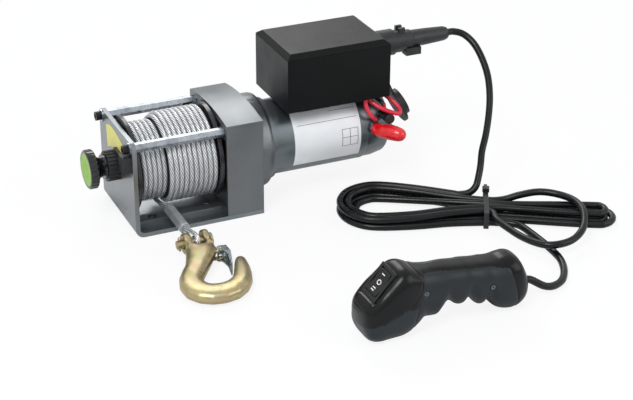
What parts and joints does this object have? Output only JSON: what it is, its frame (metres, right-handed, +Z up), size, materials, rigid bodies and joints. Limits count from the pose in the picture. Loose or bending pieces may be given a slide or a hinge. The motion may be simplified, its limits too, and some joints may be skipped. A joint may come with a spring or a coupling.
{
  "type": "electric recovery winch",
  "caption": "Electric recovery winch with wire rope on an open drum, clevis hook, clutch knob, planetary gearbox, motor, control box and wired rocker handset",
  "frame": {"origin": "middle of the four mounting bolts on the underside of the base", "axes": "+X runs along the drum axis from the clutch knob to the motor, -Y is the side that the rope leaves, +Z is up"},
  "size_m": [0.4263, 0.3312, 0.1412],
  "materials": {
    "frame_paint": "grey metallic paint on bent steel sheet",
    "cast_paint": "grey metallic paint on a casting",
    "dark_steel": "grey painted steel bar",
    "zinc": "bright zinc plate",
    "black_steel": "blackened steel",
    "black_plastic": "black moulded plastic",
    "bronze": "sintered bronze",
    "gear_steel": "ground steel",
    "motor_paint": "dark grey metallic paint, glossy",
    "magnet": "sintered ferrite",
    "board": "brown laminate",
    "carbon": "carbon",
    "red_rubber": "glossy red rubber",
    "red_cable": "red cable sheath",
    "black_paint": "black paint",
    "box_plastic": "satin black plastic",
    "socket_plastic": "black moulded plastic",
    "plug_rubber": "dark grey moulded rubber",
    "cord_rubber": "satin black cable sheath",
    "handset_plastic": "satin black plastic",
    "grip_rubber": "dark soft-touch grip",
    "gloss_black": "glossy black plastic",
    "wire_rope": "galvanised wire rope",
    "ferrule_metal": "pressed light metal",
    "hook_zinc": "yellow zinc plate",
    "latch_zinc": "blue zinc plate",
    "armature_core": "laminated steel with copper winding",
    "green_disc": "lime green",
    "black_rubber": "black rubber"
  },
  "bodies": {
    "winch": {"base_frame": "frame_paint", "mounting_bars": "dark_steel", "tie_bars": "zinc", "frame_screws": "black_steel", "frame_washers": "zinc", "clutch_housing": "black_plastic", "drum_bushes": "bronze", "gear_housing": "cast_paint", "ring_gear": "gear_steel", "motor_flange": "motor_paint", "motor_can": "motor_paint", "motor_end_cap": "motor_paint", "motor_magnets": "magnet", "brush_holder": "board", "brushes": "carbon", "motor_bearings": "gear_steel", "motor_bolts": "zinc", "terminals": "zinc", "terminal_boots": "red_rubber", "motor_leads": "red_cable", "box_bracket": "black_paint", "control_box": "box_plastic", "box_lid": "box_plastic", "relays": "zinc", "box_screws": "zinc", "socket": "socket_plastic", "plug": "plug_rubber", "cord_feed": "cord_rubber", "cord_hank": "cord_rubber", "cord_tie": "black_plastic", "cord_tail": "cord_rubber", "handset_front": "handset_plastic", "handset_rear": "handset_plastic", "finger_grip": "grip_rubber", "switch_bezel": "gloss_black", "switch_body": "black_plastic", "handset_screws": "zinc", "rope_tail": "wire_rope", "ferrule": "ferrule_metal", "rope_eye": "wire_rope", "hook_pin": "zinc"},
    "drum": {"drum": "black_paint", "rope_winding": "wire_rope", "drum_carrier": "gear_steel"},
    "drum_planet_a": {"drum_planet_a": "gear_steel"},
    "drum_planet_b": {"drum_planet_b": "gear_steel"},
    "drum_planet_c": {"drum_planet_c": "gear_steel"},
    "motor_carrier": {"motor_carrier": "gear_steel"},
    "motor_planet_a": {"motor_planet_a": "gear_steel"},
    "motor_planet_b": {"motor_planet_b": "gear_steel"},
    "motor_planet_c": {"motor_planet_c": "gear_steel"},
    "armature": {"armature": "armature_core"},
    "clutch_rod": {"clutch_rod": "zinc"},
    "clutch_knob": {"clutch_knob": "gloss_black", "knob_disc": "green_disc"},
    "rocker": {"rocker": "gloss_black"},
    "dust_cap": {"dust_cap": "black_rubber"},
    "hook": {"hook": "hook_zinc", "latch_spring": "zinc"},
    "hook_latch": {"hook_latch": "latch_zinc"}
  },
  "joints": [
    {"name": "drum_spin", "type": "hinge", "parent": "winch", "child": "drum", "pos_m": [0, 0, 0.0514], "axis": [1, 0, 0], "continuous": true},
    {"name": "drum_planet_a_spin", "type": "hinge", "parent": "drum", "child": "drum_planet_a", "pos_m": [0.053, 0, 0.0334], "axis": [1, 0, 0], "continuous": true},
    {"name": "drum_planet_b_spin", "type": "hinge", "parent": "drum", "child": "drum_planet_b", "pos_m": [0.053, 0.01559, 0.0604], "axis": [1, 0, 0], "continuous": true},
    {"name": "drum_planet_c_spin", "type": "hinge", "parent": "drum", "child": "drum_planet_c", "pos_m": [0.053, -0.01559, 0.0604], "axis": [1, 0, 0], "continuous": true},
    {"name": "motor_carrier_spin", "type": "hinge", "parent": "winch", "child": "motor_carrier", "pos_m": [0, 0, 0.0514], "axis": [1, 0, 0], "continuous": true},
    {"name": "motor_planet_a_spin", "type": "hinge", "parent": "motor_carrier", "child": "motor_planet_a", "pos_m": [0.065, 0, 0.0334], "axis": [1, 0, 0], "continuous": true},
    {"name": "motor_planet_b_spin", "type": "hinge", "parent": "motor_carrier", "child": "motor_planet_b", "pos_m": [0.065, 0.01559, 0.0604], "axis": [1, 0, 0], "continuous": true},
    {"name": "motor_planet_c_spin", "type": "hinge", "parent": "motor_carrier", "child": "motor_planet_c", "pos_m": [0.065, -0.01559, 0.0604], "axis": [1, 0, 0], "continuous": true},
    {"name": "motor_spin", "type": "hinge", "parent": "winch", "child": "armature", "pos_m": [0, 0, 0.0514], "axis": [1, 0, 0], "continuous": true},
    {"name": "clutch_pull", "type": "slide", "parent": "winch", "child": "clutch_rod", "axis": [-1, 0, 0], "range_m": [0, 0.008]},
    {"name": "clutch_turn", "type": "hinge", "parent": "clutch_rod", "child": "clutch_knob", "pos_m": [-0.06, 0, 0.0514], "axis": [-1, 0, 0], "range_deg": [0, 90]},
    {"name": "rocker_tilt", "type": "hinge", "parent": "winch", "child": "rocker", "pos_m": [0.07922, -0.266, 0.04301], "axis": [0, 1, 0], "range_deg": [-9, 9], "stiffness_Nm_per_rad": 0.05},
    {"name": "dust_cap_swing", "type": "hinge", "parent": "winch", "child": "dust_cap", "pos_m": [0.2034, 0, 0.1029], "axis": [0, -1, 0], "range_deg": [-20, 50]},
    {"name": "hook_swing", "type": "hinge", "parent": "winch", "child": "hook", "pos_m": [-0.0085, -0.0875, 0.01], "axis": [-1, 0, 0], "range_deg": [0, 60]},
    {"name": "hook_latch_open", "type": "hinge", "parent": "hook", "child": "hook_latch", "pos_m": [0.0056, -0.1095, 0.0068], "axis": [0, 0, -1], "range_deg": [0, 30], "stiffness_Nm_per_rad": 0.02, "springref_deg": -17.19}
  ],
  "couplings": [
    {"joint": "drum_planet_a_spin", "follows": "drum_spin", "ratio": -2.5},
    {"joint": "drum_planet_b_spin", "follows": "drum_spin", "ratio": -2.5},
    {"joint": "drum_planet_c_spin", "follows": "drum_spin", "ratio": -2.5},
    {"joint": "motor_carrier_spin", "follows": "drum_spin", "ratio": 6},
    {"joint": "motor_planet_a_spin", "follows": "drum_spin", "ratio": -15},
    {"joint": "motor_planet_b_spin", "follows": "drum_spin", "ratio": -15},
    {"joint": "motor_planet_c_spin", "follows": "drum_spin", "ratio": -15},
    {"joint": "motor_spin", "follows": "drum_spin", "ratio": 36}
  ]
}
